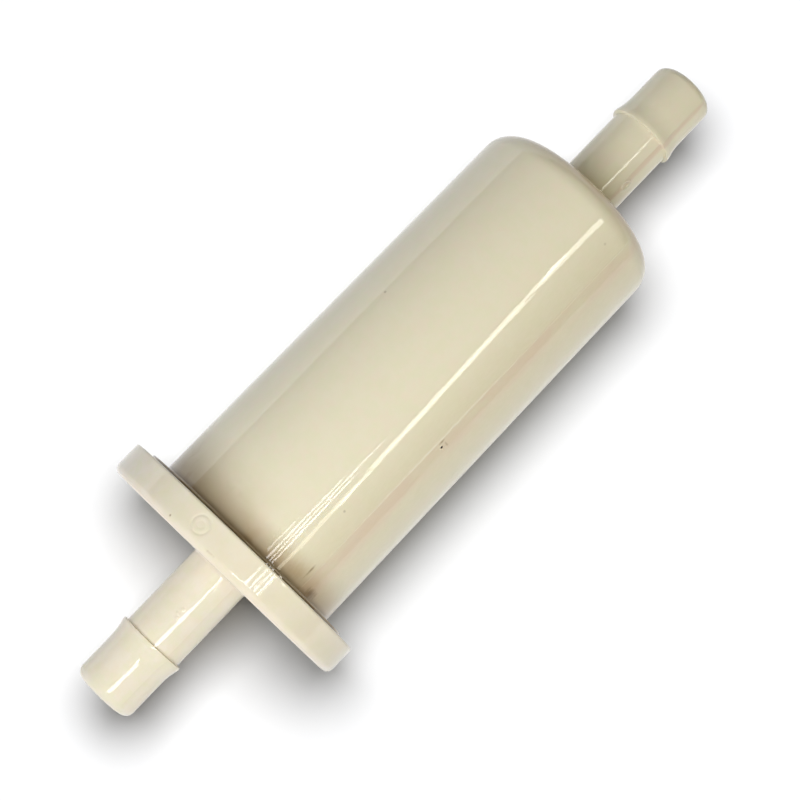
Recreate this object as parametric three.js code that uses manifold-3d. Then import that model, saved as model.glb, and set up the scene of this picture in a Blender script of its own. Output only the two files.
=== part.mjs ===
// Inline fuel filter for a small marine engine: a moulded nylon bowl with a disc cover welded over
// its mouth, a hose nipple at each end, and inside them a pleated paper element that a light spring
// holds against its seat. Fuel enters at the cover, passes the element from outside to inside and
// leaves through the bowl's nipple.
//
// Millimetres. X runs along the filter in the direction of flow and Z is up. The origin is on the
// axis, half way along.

import * as THREE from "three";
import { mergeVertices } from "three/addons/utils/BufferGeometryUtils.js";
import Module from "manifold-3d";

const wasm = await Module();
wasm.setup();

// Hose nipples, alike at both ends: distances run from the root face out to the tip
const NIPPLE_LENGTH = 23.8;
const BORE_RADIUS = 3.1;
const STEM_RADIUS = 4.8;
const NOSE_RADIUS = 4.92;
const RIDGE_RADIUS = 5.33;
const RIDGE_FROM_ROOT = 13.5;
const RIDGE_SHOULDER = 0.12;
const RIDGE_CREST = 0.5;
const RIDGE_RAMP = 2.9;
const RIDGE_RAMP_STEPS = [0.28, 0.6, 1];
const ROOT_FILLET = 0.4;
const TIP_ROUNDING = 1.4;

// Cover: a thick disc with a recess that takes the bowl's rim
const COVER_RADIUS = 21;
const COVER_THICKNESS = 5;
const COVER_OUTER_ROUNDING = 1.2;
const COVER_INNER_ROUNDING = 0.3;
const RECESS_RADIUS = 18.5;
const RECESS_DEPTH = 2.3;
const SKIRT_OUTER_RADIUS = 13;
const SKIRT_INNER_RADIUS = 11.8;
const SKIRT_HEIGHT = 4.3;
const SKIRT_CHAMFER = 0.4;
const SPRING_SPIGOT_RADIUS = 4.3;
const SPRING_SPIGOT_HEIGHT = 1.2;
const STOP_RIBS = 4;
const STOP_RIB_INNER_RADIUS = 7.5;
const STOP_RIB_OUTER_RADIUS = 12.4;
const STOP_RIB_THICKNESS = 1.2;

// Bowl: a drafted cup with a rim flange, a rounded far shoulder and a seat round its outlet
const BOWL_LENGTH = 70;
const BOWL_FOOT_RADIUS = 15.58;
const BOWL_FAR_RADIUS = 15.25;
const BOWL_SHOULDER = 4.4;
const BOWL_FOOT_FILLET = 0.3;
const BOWL_MOUTH_RADIUS = 13.4;
const BOWL_FAR_INNER_RADIUS = 12.9;
const BOWL_END_WALL = 2.2;
const BOWL_INNER_CORNER = 2.4;
const RIM_RADIUS = 18.3;
const RIM_PROUD = 0.4;
const RIM_EDGE_ROUNDING = 0.3;
const WELD_GAP = 0.35;
const SEAT_RADIUS = 7.2;
const SEAT_HEIGHT = 2.3;
const SOCKET_RADIUS = 4.7;
const SOCKET_DEPTH = 2.1;

// Weld bead between the rim and the floor of the recess
const WELD_INNER_RADIUS = 14.6;
const WELD_OUTER_RADIUS = 17.4;
const WELD_CLEARANCE = 0.05;

// Element: two end discs, core, pleated paper, seam clip, potting and seat gasket
const FLOAT = 1.5;
const STOP_CLEARANCE = 0.1;
const ELEMENT_START_X = -27;
const DISC_THICKNESS = 1;
const OUTLET_DISC_THICKNESS = 1.2;
const CUP_RADIUS = 12.4;
const CUP_WALL = 0.5;
const CUP_DEPTH = 2;
const CUP_EDGE = 0.3;
const PILOT_RADIUS = 3.9;
const PILOT_HEIGHT = 1.2;
const EARS = 4;
const EAR_RADIUS = 13;
const EAR_WIDTH = 3;
const DISC_BOSS_RADIUS = 4.3;
const DISC_BOSS_HEIGHT = 1.2;
const SPIGOT_RADIUS = 4.3;
const SPIGOT_BORE = 3.3;
const SPIGOT_LENGTH = 2.9;
const GASKET_INNER_RADIUS = 4.9;
const GASKET_OUTER_RADIUS = 7;
const GASKET_THICKNESS = 1.2;
const GASKET_EDGE = 0.2;
const CORE_OUTER_RADIUS = 5;
const CORE_INNER_RADIUS = 4.1;
const CORE_COLUMNS = 4;
const CORE_ROWS = 8;
const CORE_WINDOW_LENGTH = 4.4;
const CORE_WINDOW_WIDTH = 3;
const CORE_CUT_MARGIN = 1;
const POTTING_INNER_RADIUS = 5.2;
const POTTING_OUTER_RADIUS = 11.8;
const POTTING_THICKNESS = 0.8;
const PLEATS = 24;
const PLEAT_OUTER_RADIUS = 11.6;
const PLEAT_INNER_RADIUS = 5.4;
const PAPER_THICKNESS = 0.4;
const OUTER_FOLD_RADIUS = 0.45;
const INNER_FOLD_RADIUS = 0.35;
const CLIP_LEG = 2.1;
const CLIP_THICKNESS = 0.3;
const CLIP_GAP = 0.08;
const CLIP_END_GAP = 0.3;
const FIT_GAP = 0.1;
const CONTACT_GAP = 0.05;

// Spring between the cover's floor and the closed end disc
const SPRING_RADIUS = 5;
const SPRING_WIRE = 0.8;
const SPRING_TURNS = 5;
const SPRING_CLOSED_TURNS = 1;
const SPRING_CLOSED_PITCH = 0.95;

// How finely the round pieces are faceted
const HOUSING_FACETS = 48;
const ELEMENT_FACETS = 32;
const WIRE_FACETS = 6;
const WIRE_STEPS_PER_TURN = 18;

// Places along X that follow from the sizes above
const OVERALL_LENGTH = 2 * NIPPLE_LENGTH + COVER_THICKNESS + BOWL_LENGTH;
const COVER_OUTER_X = NIPPLE_LENGTH - OVERALL_LENGTH / 2;
const COVER_INNER_X = COVER_OUTER_X + COVER_THICKNESS;
const RECESS_FLOOR_X = COVER_INNER_X - RECESS_DEPTH;
const RIM_TOP_X = COVER_INNER_X + RIM_PROUD;
const RIM_BOTTOM_X = RECESS_FLOOR_X + WELD_GAP;
const BOWL_END_X = COVER_INNER_X + BOWL_LENGTH;
const BOWL_END_INNER_X = BOWL_END_X - BOWL_END_WALL;
const SEAT_X = BOWL_END_INNER_X - SEAT_HEIGHT;
const STOP_RIB_TOP_X = ELEMENT_START_X - FLOAT - STOP_CLEARANCE;
const INLET_FLOOR_X = ELEMENT_START_X + DISC_THICKNESS;
const GASKET_END_X = SEAT_X - CONTACT_GAP;
const ELEMENT_END_X = GASKET_END_X - GASKET_THICKNESS - CONTACT_GAP;
const OUTLET_FLOOR_X = ELEMENT_END_X - OUTLET_DISC_THICKNESS;

const nylon = { color: 0xe3ddc0, roughness: 0.22, metalness: 0 };
const elementNylon = { color: 0xd9d4c4, roughness: 0.45, metalness: 0 };
const paper = { color: 0xc79a5a, roughness: 0.95, metalness: 0 };
const steel = { color: 0xb9bcbe, roughness: 0.3, metalness: 1 };
const rubber = { color: 0x1c1c1d, roughness: 0.7, metalness: 0 };
const adhesive = { color: 0x8f4a33, roughness: 0.5, metalness: 0 };
const weld = { color: 0x8a7c5c, roughness: 0.5, metalness: 0 };

const filter = new THREE.Group();

/** Adds one named piece to the filter. */
function add(name, geometry, finish) {
  const mesh = new THREE.Mesh(geometry, new THREE.MeshStandardMaterial(finish));
  mesh.name = name;
  filter.add(mesh);
}

/** Turns a closed outline of [x, radius] points round the X axis. */
function turned(outline, facets) {
  const points = outline.map(([x, radius]) => new THREE.Vector2(radius, x));
  return new THREE.LatheGeometry(points, facets).rotateZ(-Math.PI / 2);
}

/** Closes an outline on its first point. */
function closed(outline) {
  return [...outline, outline[0]];
}

/** Points of an arc about [x, radius], with angles in degrees from +X towards the outside. */
function arc(x, radius, size, from, to, steps) {
  return Array.from({ length: steps + 1 }, (_, i) => {
    const angle = THREE.MathUtils.degToRad(from + ((to - from) * i) / steps);
    return [x + size * Math.cos(angle), radius + size * Math.sin(angle)];
  });
}

/** Turns a shape drawn in Y and Z, and extruded along its own normal, to run along X. */
function alongX(geometry) {
  return geometry.applyMatrix4(new THREE.Matrix4().set(0, 0, 1, 0, 1, 0, 0, 0, 0, 1, 0, 0, 0, 0, 0, 1));
}

/** A geometry as a solid that can be joined and cut. */
function solid(geometry) {
  geometry.deleteAttribute("normal");
  geometry.deleteAttribute("uv");
  const merged = mergeVertices(geometry);
  return new wasm.Manifold(new wasm.Mesh({
    numProp: 3,
    vertProperties: merged.attributes.position.array,
    triVerts: new Uint32Array(merged.index.array),
  }));
}

/** A joined or cut solid as a geometry. */
function geometryOf(body) {
  const mesh = body.getMesh();
  const geometry = new THREE.BufferGeometry();
  geometry.setAttribute("position", new THREE.BufferAttribute(mesh.vertProperties, 3));
  geometry.setIndex(new THREE.BufferAttribute(mesh.triVerts, 1));
  return geometry;
}

/** A block that points outwards from the axis, at one of several equal turns round it. */
function radialBlock(fromX, toX, innerRadius, outerRadius, width, turn) {
  const block = new THREE.BoxGeometry(toX - fromX, width, outerRadius - innerRadius);
  block.translate((fromX + toX) / 2, 0, (innerRadius + outerRadius) / 2);
  return block.rotateX(turn * 2 * Math.PI);
}

/** Outline of a hose nipple from its root fillet to the edge of its bore; side is -1 or 1. */
function nipple(rootX, side) {
  const rampStart = RIDGE_FROM_ROOT + RIDGE_SHOULDER + RIDGE_CREST;
  const rise = RIDGE_RADIUS - NOSE_RADIUS;
  const fillet = arc(ROOT_FILLET, STEM_RADIUS + ROOT_FILLET, ROOT_FILLET, 180, 270, 2);
  const ramp = RIDGE_RAMP_STEPS.map((t) => [rampStart + t * RIDGE_RAMP, NOSE_RADIUS + rise * (1 - t) ** 2]);
  const roundingX = NIPPLE_LENGTH - TIP_ROUNDING;
  const tip = arc(roundingX, NOSE_RADIUS - TIP_ROUNDING, TIP_ROUNDING, 90, 0, 4);
  const outline = [
    ...fillet,
    [RIDGE_FROM_ROOT, STEM_RADIUS],
    [RIDGE_FROM_ROOT + RIDGE_SHOULDER, RIDGE_RADIUS],
    [rampStart, RIDGE_RADIUS],
    ...ramp,
    ...tip,
    [NIPPLE_LENGTH, BORE_RADIUS],
  ];
  return outline.map(([distance, radius]) => [rootX + side * distance, radius]);
}

/** Cover disc with its nipple, spring spigot, centring skirt and stop ribs. */
function inletCover() {
  const skirtTopX = RECESS_FLOOR_X + SKIRT_HEIGHT;
  const spigotTopX = RECESS_FLOOR_X + SPRING_SPIGOT_HEIGHT;
  const innerEdge = arc(
    COVER_INNER_X - COVER_INNER_ROUNDING, COVER_RADIUS - COVER_INNER_ROUNDING, COVER_INNER_ROUNDING, 0, 90, 1);
  const outerEdge = arc(
    COVER_OUTER_X + COVER_OUTER_ROUNDING, COVER_RADIUS - COVER_OUTER_ROUNDING, COVER_OUTER_ROUNDING, 90, 180, 4);
  const outline = [
    [spigotTopX, BORE_RADIUS],
    [spigotTopX, SPRING_SPIGOT_RADIUS],
    [RECESS_FLOOR_X, SPRING_SPIGOT_RADIUS],
    [RECESS_FLOOR_X, SKIRT_INNER_RADIUS],
    [skirtTopX, SKIRT_INNER_RADIUS],
    [skirtTopX, SKIRT_OUTER_RADIUS - SKIRT_CHAMFER],
    [skirtTopX - SKIRT_CHAMFER, SKIRT_OUTER_RADIUS],
    [RECESS_FLOOR_X, SKIRT_OUTER_RADIUS],
    [RECESS_FLOOR_X, RECESS_RADIUS],
    [COVER_INNER_X, RECESS_RADIUS],
    ...innerEdge,
    ...outerEdge,
    ...nipple(COVER_OUTER_X, -1),
  ];
  let cover = solid(turned(closed(outline).reverse(), HOUSING_FACETS));
  for (let rib = 0; rib < STOP_RIBS; rib++) {
    const block = radialBlock(
      RECESS_FLOOR_X - STOP_CLEARANCE, STOP_RIB_TOP_X, STOP_RIB_INNER_RADIUS, STOP_RIB_OUTER_RADIUS,
      STOP_RIB_THICKNESS, rib / STOP_RIBS);
    cover = cover.add(solid(block));
  }
  return geometryOf(cover);
}

/** Bowl with its rim, its nipple and the seat that the element is pressed against. */
function filterBowl() {
  const socketFloorX = SEAT_X + SOCKET_DEPTH;
  const innerCorner = arc(
    BOWL_END_INNER_X - BOWL_INNER_CORNER, BOWL_FAR_INNER_RADIUS - BOWL_INNER_CORNER, BOWL_INNER_CORNER, 0, 90, 3);
  const rimEdge = arc(RIM_TOP_X - RIM_EDGE_ROUNDING, RIM_RADIUS - RIM_EDGE_ROUNDING, RIM_EDGE_ROUNDING, 90, 0, 1);
  const foot = arc(
    RIM_TOP_X + BOWL_FOOT_FILLET, BOWL_FOOT_RADIUS + BOWL_FOOT_FILLET, BOWL_FOOT_FILLET, 180, 270, 3);
  const shoulder = arc(
    BOWL_END_X - BOWL_SHOULDER, BOWL_FAR_RADIUS - BOWL_SHOULDER, BOWL_SHOULDER, 90, 0, 6);
  const outline = [
    [socketFloorX, BORE_RADIUS],
    [socketFloorX, SOCKET_RADIUS],
    [SEAT_X, SOCKET_RADIUS],
    [SEAT_X, SEAT_RADIUS],
    [BOWL_END_INNER_X, SEAT_RADIUS],
    ...innerCorner,
    [RIM_BOTTOM_X, BOWL_MOUTH_RADIUS],
    [RIM_BOTTOM_X, RIM_RADIUS],
    ...rimEdge,
    ...foot,
    ...shoulder,
    ...nipple(BOWL_END_X, 1),
  ];
  return turned(closed(outline), HOUSING_FACETS);
}

/** Flat bead of melted nylon that joins the rim to the cover. */
function weldBead() {
  const outline = [
    [RECESS_FLOOR_X + WELD_CLEARANCE, WELD_INNER_RADIUS],
    [RECESS_FLOOR_X + WELD_CLEARANCE, WELD_OUTER_RADIUS],
    [RIM_BOTTOM_X - WELD_CLEARANCE, WELD_OUTER_RADIUS],
    [RIM_BOTTOM_X - WELD_CLEARANCE, WELD_INNER_RADIUS],
  ];
  return turned(closed(outline), HOUSING_FACETS);
}

/** Middle line of the spring's wire: closed end turns with open turns between them. */
class SpringPath extends THREE.Curve {
  getPoint(t, target = new THREE.Vector3()) {
    const startX = RECESS_FLOOR_X + SPRING_WIRE / 2 + CONTACT_GAP;
    const endX = ELEMENT_START_X - SPRING_WIRE / 2 - CONTACT_GAP;
    const openTurns = SPRING_TURNS - 2 * SPRING_CLOSED_TURNS;
    const openPitch = (endX - startX - 2 * SPRING_CLOSED_TURNS * SPRING_CLOSED_PITCH) / openTurns;
    const turn = t * SPRING_TURNS;
    const open = THREE.MathUtils.clamp(turn - SPRING_CLOSED_TURNS, 0, openTurns);
    const x = startX + open * openPitch + (turn - open) * SPRING_CLOSED_PITCH;
    const angle = turn * 2 * Math.PI;
    return target.set(x, SPRING_RADIUS * Math.cos(angle), SPRING_RADIUS * Math.sin(angle));
  }
}

/** Round-wire compression spring. */
function elementSpring() {
  const section = Array.from({ length: WIRE_FACETS }, (_, i) => {
    const angle = (i / WIRE_FACETS) * 2 * Math.PI;
    return new THREE.Vector2(Math.cos(angle), Math.sin(angle)).multiplyScalar(SPRING_WIRE / 2);
  });
  return new THREE.ExtrudeGeometry(new THREE.Shape(section), {
    extrudePath: new SpringPath(),
    steps: SPRING_TURNS * WIRE_STEPS_PER_TURN,
    bevelEnabled: false,
  });
}

/** Closed end disc at the inlet, with a spring boss, a core pilot and centring ears. */
function inletEndDisc() {
  const cupEdgeX = INLET_FLOOR_X + CUP_DEPTH;
  const outline = [
    [ELEMENT_START_X - DISC_BOSS_HEIGHT, 0],
    [ELEMENT_START_X - DISC_BOSS_HEIGHT, DISC_BOSS_RADIUS - CUP_EDGE],
    [ELEMENT_START_X - DISC_BOSS_HEIGHT + CUP_EDGE, DISC_BOSS_RADIUS],
    [ELEMENT_START_X, DISC_BOSS_RADIUS],
    [ELEMENT_START_X, CUP_RADIUS - CUP_EDGE],
    [ELEMENT_START_X + CUP_EDGE, CUP_RADIUS],
    [cupEdgeX, CUP_RADIUS],
    [cupEdgeX, CUP_RADIUS - CUP_WALL],
    [INLET_FLOOR_X, CUP_RADIUS - CUP_WALL],
    [INLET_FLOOR_X, PILOT_RADIUS],
    [INLET_FLOOR_X + PILOT_HEIGHT, PILOT_RADIUS],
    [INLET_FLOOR_X + PILOT_HEIGHT, 0],
  ];
  let disc = solid(turned(outline, ELEMENT_FACETS));
  for (let ear = 0; ear < EARS; ear++) {
    const block = radialBlock(
      ELEMENT_START_X + CUP_EDGE, cupEdgeX - CUP_EDGE, CUP_RADIUS - CUP_WALL / 2, EAR_RADIUS, EAR_WIDTH,
      (ear + 0.5) / EARS);
    disc = disc.add(solid(block));
  }
  return geometryOf(disc);
}

/** Open end disc at the outlet, with a spigot that the bowl's socket guides. */
function outletEndDisc() {
  const cupEdgeX = OUTLET_FLOOR_X - CUP_DEPTH;
  const spigotTipX = ELEMENT_END_X + SPIGOT_LENGTH;
  const outline = [
    [OUTLET_FLOOR_X - PILOT_HEIGHT, SPIGOT_BORE],
    [OUTLET_FLOOR_X - PILOT_HEIGHT, PILOT_RADIUS],
    [OUTLET_FLOOR_X, PILOT_RADIUS],
    [OUTLET_FLOOR_X, CUP_RADIUS - CUP_WALL],
    [cupEdgeX, CUP_RADIUS - CUP_WALL],
    [cupEdgeX, CUP_RADIUS],
    [ELEMENT_END_X - CUP_EDGE, CUP_RADIUS],
    [ELEMENT_END_X, CUP_RADIUS - CUP_EDGE],
    [ELEMENT_END_X, SPIGOT_RADIUS],
    [spigotTipX - CUP_EDGE, SPIGOT_RADIUS],
    [spigotTipX, SPIGOT_RADIUS - CUP_EDGE],
    [spigotTipX, SPIGOT_BORE],
  ];
  return turned(closed(outline), ELEMENT_FACETS);
}

/** Flat ring that seals the element against the bowl's seat. */
function seatGasket() {
  const startX = ELEMENT_END_X + CONTACT_GAP;
  const outline = [
    [startX, GASKET_INNER_RADIUS],
    [startX, GASKET_OUTER_RADIUS - GASKET_EDGE],
    [startX + GASKET_EDGE, GASKET_OUTER_RADIUS],
    [GASKET_END_X - GASKET_EDGE, GASKET_OUTER_RADIUS],
    [GASKET_END_X, GASKET_OUTER_RADIUS - GASKET_EDGE],
    [GASKET_END_X, GASKET_INNER_RADIUS],
  ];
  return turned(closed(outline), ELEMENT_FACETS);
}

/** Support tube inside the pleats, with rows of windows that alternate round it. */
function coreTube() {
  const startX = INLET_FLOOR_X + FIT_GAP;
  const endX = OUTLET_FLOOR_X - FIT_GAP;
  const outline = [
    [startX, CORE_INNER_RADIUS],
    [startX, CORE_OUTER_RADIUS],
    [endX, CORE_OUTER_RADIUS],
    [endX, CORE_INNER_RADIUS],
  ];
  let tube = solid(turned(closed(outline), ELEMENT_FACETS));
  const pitch = (endX - startX) / CORE_ROWS;
  for (let row = 0; row < CORE_ROWS; row++) {
    const middleX = startX + (row + 0.5) * pitch;
    for (let column = 0; column < CORE_COLUMNS; column++) {
      const window = radialBlock(
        middleX - CORE_WINDOW_LENGTH / 2, middleX + CORE_WINDOW_LENGTH / 2,
        CORE_INNER_RADIUS - CORE_CUT_MARGIN, CORE_OUTER_RADIUS + CORE_CUT_MARGIN,
        CORE_WINDOW_WIDTH, (column + (row % 2) / 2) / CORE_COLUMNS);
      tube = tube.subtract(solid(window));
    }
  }
  return geometryOf(tube);
}

/** Ring of adhesive in an end disc's cup. */
function potting(startX) {
  const outline = [
    [startX, POTTING_INNER_RADIUS],
    [startX, POTTING_OUTER_RADIUS],
    [startX + POTTING_THICKNESS, POTTING_OUTER_RADIUS],
    [startX + POTTING_THICKNESS, POTTING_INNER_RADIUS],
  ];
  return turned(closed(outline), ELEMENT_FACETS);
}

/** One side of the pleated paper's wall, going round the axis fold by fold. */
function pleatLoop(outerFold, innerFold) {
  const outerCentre = PLEAT_OUTER_RADIUS - PAPER_THICKNESS / 2 - OUTER_FOLD_RADIUS;
  const innerCentre = PLEAT_INNER_RADIUS + PAPER_THICKNESS / 2 + INNER_FOLD_RADIUS;
  const points = [];
  const addFold = (turn, centre, bend) => {
    for (const side of [-90, -45, 0, 45, 90]) {
      const angle = THREE.MathUtils.degToRad(side);
      const point = new THREE.Vector2(centre + bend * Math.cos(angle), Math.abs(bend) * Math.sin(angle));
      points.push(point.rotateAround(new THREE.Vector2(), turn * 2 * Math.PI));
    }
  };
  for (let pleat = 0; pleat < PLEATS; pleat++) {
    addFold(pleat / PLEATS, outerCentre, outerFold);
    addFold((pleat + 0.5) / PLEATS, innerCentre, -innerFold);
  }
  return points;
}

/** Pleated paper, a folded wall that closes on itself. */
function pleatedMedia(startX, endX) {
  const half = PAPER_THICKNESS / 2;
  const wall = new THREE.Shape(pleatLoop(OUTER_FOLD_RADIUS + half, INNER_FOLD_RADIUS - half));
  wall.holes.push(new THREE.Path(pleatLoop(OUTER_FOLD_RADIUS - half, INNER_FOLD_RADIUS + half)));
  const media = new THREE.ExtrudeGeometry(wall, { depth: endX - startX, bevelEnabled: false });
  return alongX(media).translate(startX, 0, 0);
}

/** Folded metal channel that grips the outer fold where the paper's two ends meet. */
function seamClip(startX, endX) {
  const inside = OUTER_FOLD_RADIUS + PAPER_THICKNESS / 2 + CLIP_GAP;
  const outside = inside + CLIP_THICKNESS;
  const crown = PLEAT_OUTER_RADIUS + CLIP_GAP;
  const section = [
    [crown - CLIP_LEG, -outside],
    [crown + CLIP_THICKNESS, -outside],
    [crown + CLIP_THICKNESS, outside],
    [crown - CLIP_LEG, outside],
    [crown - CLIP_LEG, inside],
    [crown, inside],
    [crown, -inside],
    [crown - CLIP_LEG, -inside],
  ];
  const shape = new THREE.Shape(section.map(([radial, across]) => new THREE.Vector2(radial, across)));
  const clip = new THREE.ExtrudeGeometry(shape, { depth: endX - startX, bevelEnabled: false });
  return alongX(clip).translate(startX, 0, 0);
}

add("filter_bowl", filterBowl(), nylon);
add("inlet_cover", inletCover(), nylon);
add("weld_bead", weldBead(), weld);
add("element_spring", elementSpring(), steel);
add("inlet_end_disc", inletEndDisc(), elementNylon);
add("outlet_end_disc", outletEndDisc(), elementNylon);
add("seat_gasket", seatGasket(), rubber);
add("core_tube", coreTube(), elementNylon);

const inletPottingX = INLET_FLOOR_X + FIT_GAP;
const outletPottingX = OUTLET_FLOOR_X - FIT_GAP - POTTING_THICKNESS;
add("inlet_potting", potting(inletPottingX), adhesive);
add("outlet_potting", potting(outletPottingX), adhesive);
add("pleated_media", pleatedMedia(inletPottingX + POTTING_THICKNESS + FIT_GAP, outletPottingX - FIT_GAP), paper);

const clipStartX = INLET_FLOOR_X + CUP_DEPTH + CLIP_END_GAP;
const clipEndX = OUTLET_FLOOR_X - CUP_DEPTH - CLIP_END_GAP;
add("seam_clip", seamClip(clipStartX, clipEndX), steel);

export default filter;
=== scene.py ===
"""Looks of an inline fuel filter: ivory nylon housing, pleated element and seating spring."""
import bmesh
import bpy
from math import atan2, ceil, copysign, cos, exp, hypot, pi, radians, sin
from mathutils import Matrix, Vector


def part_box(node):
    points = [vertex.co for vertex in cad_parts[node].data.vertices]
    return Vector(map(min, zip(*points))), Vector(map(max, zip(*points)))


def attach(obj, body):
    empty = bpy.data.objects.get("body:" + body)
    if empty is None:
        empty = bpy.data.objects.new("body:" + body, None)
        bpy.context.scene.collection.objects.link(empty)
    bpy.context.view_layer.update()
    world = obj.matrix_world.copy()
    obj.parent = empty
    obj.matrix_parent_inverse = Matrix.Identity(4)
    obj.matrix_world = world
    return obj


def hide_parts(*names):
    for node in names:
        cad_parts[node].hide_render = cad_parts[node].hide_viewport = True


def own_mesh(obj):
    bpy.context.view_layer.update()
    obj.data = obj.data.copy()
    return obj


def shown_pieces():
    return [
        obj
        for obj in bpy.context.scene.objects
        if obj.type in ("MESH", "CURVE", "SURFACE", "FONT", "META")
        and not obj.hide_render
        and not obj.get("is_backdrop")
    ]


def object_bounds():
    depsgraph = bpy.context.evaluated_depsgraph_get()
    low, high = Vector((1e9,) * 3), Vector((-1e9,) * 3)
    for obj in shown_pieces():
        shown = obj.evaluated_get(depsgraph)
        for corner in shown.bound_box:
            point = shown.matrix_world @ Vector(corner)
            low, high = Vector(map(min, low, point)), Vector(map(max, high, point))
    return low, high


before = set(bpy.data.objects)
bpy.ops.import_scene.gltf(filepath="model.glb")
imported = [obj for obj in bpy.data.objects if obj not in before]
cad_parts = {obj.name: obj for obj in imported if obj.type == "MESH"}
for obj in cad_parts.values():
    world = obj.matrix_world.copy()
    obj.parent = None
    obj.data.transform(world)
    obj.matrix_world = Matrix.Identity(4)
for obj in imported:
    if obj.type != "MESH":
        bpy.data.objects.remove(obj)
cad_low, cad_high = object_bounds()


# --- Filter bowl ---------------------------------------------------------------------------
# The bowl is a drafted cup of ivory nylon with walls of 2.2 to 2.4 mm, moulded in one shot with its
# rim and its hose nipple. The two mould halves leave a fine parting line down opposite sides, and
# the gate a small oval scar on the nipple.

MM = 0.001
bowl_low, bowl_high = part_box("filter_bowl")
BOWL_MOUTH_X = bowl_low.x
TIP_X = bowl_high.x
BOWL_RIM_RADIUS = bowl_high.z

NIPPLE_LENGTH = 23.8 * MM
BORE_RADIUS = 3.1 * MM
STEM_RADIUS = 4.8 * MM
NOSE_RADIUS = 4.92 * MM
RIDGE_RADIUS = 5.33 * MM
RIDGE_FROM_ROOT = 13.5 * MM
RIDGE_SHOULDER = 0.16 * MM
RIDGE_CREST = 0.42 * MM
RIDGE_RAMP = 2.9 * MM
ROOT_FILLET = 0.4 * MM
TIP_ROUNDING = 1.4 * MM
BORE_CHAMFER = 0.3 * MM

RIM_TOP_X = BOWL_MOUTH_X + 2.35 * MM
RIM_EDGE = 0.15 * MM
FOOT_RADIUS = 15.58 * MM
FOOT_FILLET = 0.3 * MM
FAR_RADIUS = 15.25 * MM
SHOULDER = 3.8 * MM
BOWL_END_X = TIP_X - NIPPLE_LENGTH
MOUTH_RADIUS = 13.4 * MM
INNER_FAR_RADIUS = 12.9 * MM
INNER_CORNER = 2.4 * MM
END_WALL = 2.2 * MM
SEAT_RADIUS = 7.2 * MM
SEAT_HEIGHT = 2.3 * MM
SOCKET_RADIUS = 4.7 * MM
SOCKET_DEPTH = 2.1 * MM

PARTING_TURNS = (radians(37), radians(217))
PARTING_WIDTH = 0.11 * MM
PARTING_HEIGHT = 0.03 * MM
HAIR = 0.01 * MM
PIT = dict(x=-4.2 * MM, turn=radians(41.0), size=0.2 * MM, depth=0.22 * MM, lip=0.07 * MM)
BOWL_GATE = dict(x=43.2 * MM, turn=radians(45), length=1.7 * MM, width=1.0 * MM,
                 edge=0.16 * MM, height=0.15 * MM)
ROUND_STEPS = 288
CREASE = radians(32)


def arc(x, radius, size, start, end, steps=10):
    """Points of an arc about (x, radius), with angles in degrees from +X outwards."""
    return [(x + size * cos(radians(start + (end - start) * i / steps)),
             radius + size * sin(radians(start + (end - start) * i / steps)))
            for i in range(steps + 1)]


def nipple_outline(root_x, side):
    """A hose nipple's outline from its root fillet, over the ridge and nose, to its bore."""
    ramp_start = RIDGE_FROM_ROOT + RIDGE_SHOULDER + RIDGE_CREST
    rise = RIDGE_RADIUS - NOSE_RADIUS
    crest_edge = 0.07 * MM
    outline = arc(ROOT_FILLET, STEM_RADIUS + ROOT_FILLET, ROOT_FILLET, 180, 270)
    outline += [(RIDGE_FROM_ROOT, STEM_RADIUS)]
    outline += arc(RIDGE_FROM_ROOT + RIDGE_SHOULDER, RIDGE_RADIUS - crest_edge, crest_edge, 160, 90, 5)
    outline += [(ramp_start + t / 12 * RIDGE_RAMP, NOSE_RADIUS + rise * (1 - t / 12) ** 2)
                for t in range(13)]
    outline += arc(NIPPLE_LENGTH - TIP_ROUNDING, NOSE_RADIUS - TIP_ROUNDING, TIP_ROUNDING, 90, 0, 16)
    outline += [(NIPPLE_LENGTH, BORE_RADIUS + BORE_CHAMFER),
                (NIPPLE_LENGTH - BORE_CHAMFER, BORE_RADIUS)]
    return [(root_x + side * along, radius) for along, radius in outline]


def stations(outline, longest, near=(), finest=0.0):
    """The closed outline with extra points, so that relief has something to shape."""
    made = []
    for (x0, r0), (x1, r1) in zip(outline, outline[1:] + outline[:1]):
        span = hypot(x1 - x0, r1 - r0)
        count = max(1, ceil(span / longest))
        cuts = {i / count for i in range(count)}
        for middle, half, smallest_radius in near:
            if min(r0, r1) < smallest_radius or abs(x1 - x0) < finest:
                continue
            first = (middle - half - x0) / (x1 - x0)
            last = (middle + half - x0) / (x1 - x0)
            steps = ceil(2 * half / finest)
            cuts |= {t for t in (first + (last - first) * i / steps for i in range(steps + 1))
                     if 0 < t < 1}
        made += [(x0 + (x1 - x0) * t, r0 + (r1 - r0) * t) for t in sorted(cuts)]
    return made


def turns(near=()):
    """Angles round the axis, closer together near details. Each is (middle, half, step)."""
    found = {round(i / ROUND_STEPS * 2 * pi, 6) for i in range(ROUND_STEPS)}
    for middle, half, step in near:
        steps = ceil(2 * half / step)
        found |= {round((middle + half * (2 * i / steps - 1)) % (2 * pi), 6)
                  for i in range(steps + 1)}
    spaced = []
    for angle in sorted(found):
        if not spaced or angle - spaced[-1] > 1e-4:
            spaced.append(angle)
    return spaced


def turned(name, outline, angles, relief=None):
    """A closed outline turned round the X axis. Angles run from +Z towards -Y."""
    verts = []
    for angle in angles:
        s, c = sin(angle), cos(angle)
        for x, radius in outline:
            grown = radius + (relief(x, radius, angle) if relief else 0.0)
            verts.append((x, -grown * s, grown * c))
    n, m = len(outline), len(angles)
    return solid(name, verts, [face for i in range(m) for face in strip(i * n, (i + 1) % m * n, n)])


def strip(here, after, count):
    """Faces between two closed loops of points."""
    return [(here + k, here + (k + 1) % count, after + (k + 1) % count, after + k) for k in range(count)]


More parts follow.
